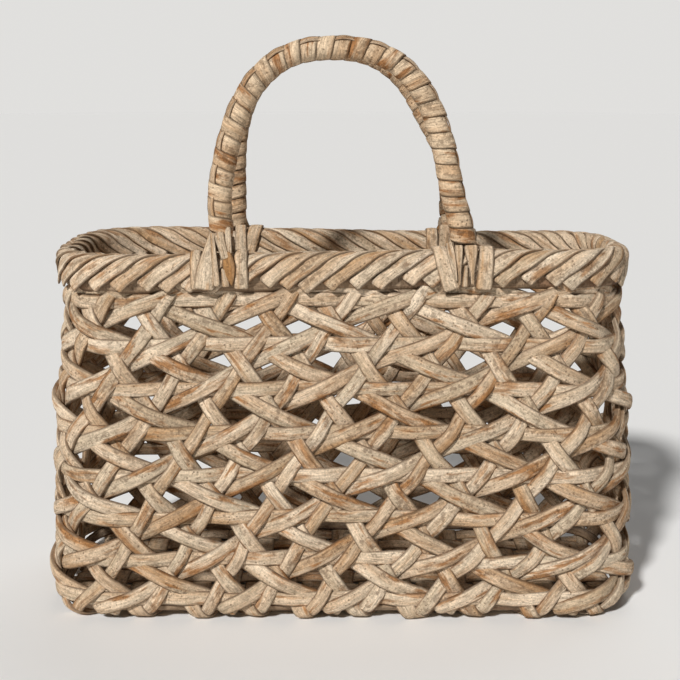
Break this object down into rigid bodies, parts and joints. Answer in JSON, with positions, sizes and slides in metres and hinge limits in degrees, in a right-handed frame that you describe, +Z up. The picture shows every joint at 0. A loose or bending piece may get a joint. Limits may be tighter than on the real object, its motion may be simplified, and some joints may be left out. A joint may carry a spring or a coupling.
{
  "type": "handbag basket",
  "caption": "Tall narrow handbag basket of openwork woven walnut bark strips with a plaited rim and wrapped arch handles that tilt where they meet the rim.",
  "frame": {"origin": "on the floor under the middle of the base", "axes": "+X along the width to the right seen from the front, +Y from front to back, +Z up"},
  "size_m": [0.334, 0.132, 0.3195],
  "materials": {
    "pale_bark": "matte",
    "grey_bark": "matte",
    "ruddy_bark": "matte",
    "dark_bark": "matte"
  },
  "bodies": {
    "basket": {"hoop_01": "pale_bark", "hoop_02": "pale_bark", "hoop_03": "pale_bark", "hoop_04": "pale_bark", "hoop_05": "pale_bark", "hoop_06": "pale_bark", "hoop_07": "pale_bark", "hoop_08": "pale_bark", "side_strip_01": "grey_bark", "side_strip_02": "pale_bark", "side_strip_03": "pale_bark", "side_strip_04": "grey_bark", "side_strip_05": "pale_bark", "side_strip_06": "pale_bark", "side_strip_07": "grey_bark", "side_strip_08": "pale_bark", "side_strip_09": "pale_bark", "side_strip_10": "grey_bark", "side_strip_11": "pale_bark", "side_strip_12": "pale_bark", "side_strip_13": "grey_bark", "side_strip_14": "pale_bark", "side_strip_15": "pale_bark", "side_strip_16": "grey_bark", "side_strip_17": "pale_bark", "side_strip_18": "pale_bark", "side_strip_19": "grey_bark", "side_strip_20": "pale_bark", "side_strip_21": "pale_bark", "side_strip_22": "grey_bark", "side_strip_23": "pale_bark", "side_strip_24": "pale_bark", "inserted_strip_01": "grey_bark", "inserted_strip_02": "grey_bark", "inserted_strip_03": "grey_bark", "inserted_strip_04": "grey_bark", "inserted_strip_05": "grey_bark", "inserted_strip_06": "grey_bark", "inserted_strip_07": "grey_bark", "inserted_strip_08": "grey_bark", "inserted_strip_09": "grey_bark", "inserted_strip_10": "grey_bark", "inserted_strip_11": "grey_bark", "inserted_strip_12": "grey_bark", "base_hoop": "dark_bark", "base_mat_lengthwise": "pale_bark", "base_mat_crosswise": "ruddy_bark", "rim_core": "dark_bark", "rim_plait": "pale_bark", "front_left_lashing": "ruddy_bark", "front_right_lashing": "ruddy_bark", "back_left_lashing": "ruddy_bark", "back_right_lashing": "ruddy_bark"},
    "handle_front": {"front_handle_core": "dark_bark", "front_handle_wrap": "pale_bark", "front_handle_edge_strip": "grey_bark"},
    "handle_back": {"back_handle_core": "dark_bark", "back_handle_wrap": "pale_bark", "back_handle_edge_strip": "grey_bark"}
  },
  "joints": [
    {"name": "handle_front_tilt", "type": "hinge", "parent": "basket", "child": "handle_front", "pos_m": [0, -0.0528, 0.2142], "axis": [-1, 0, 0], "range_deg": [-30, 24]},
    {"name": "handle_back_tilt", "type": "hinge", "parent": "basket", "child": "handle_back", "pos_m": [0, 0.0528, 0.2142], "axis": [1, 0, 0], "range_deg": [-30, 24]}
  ]
}
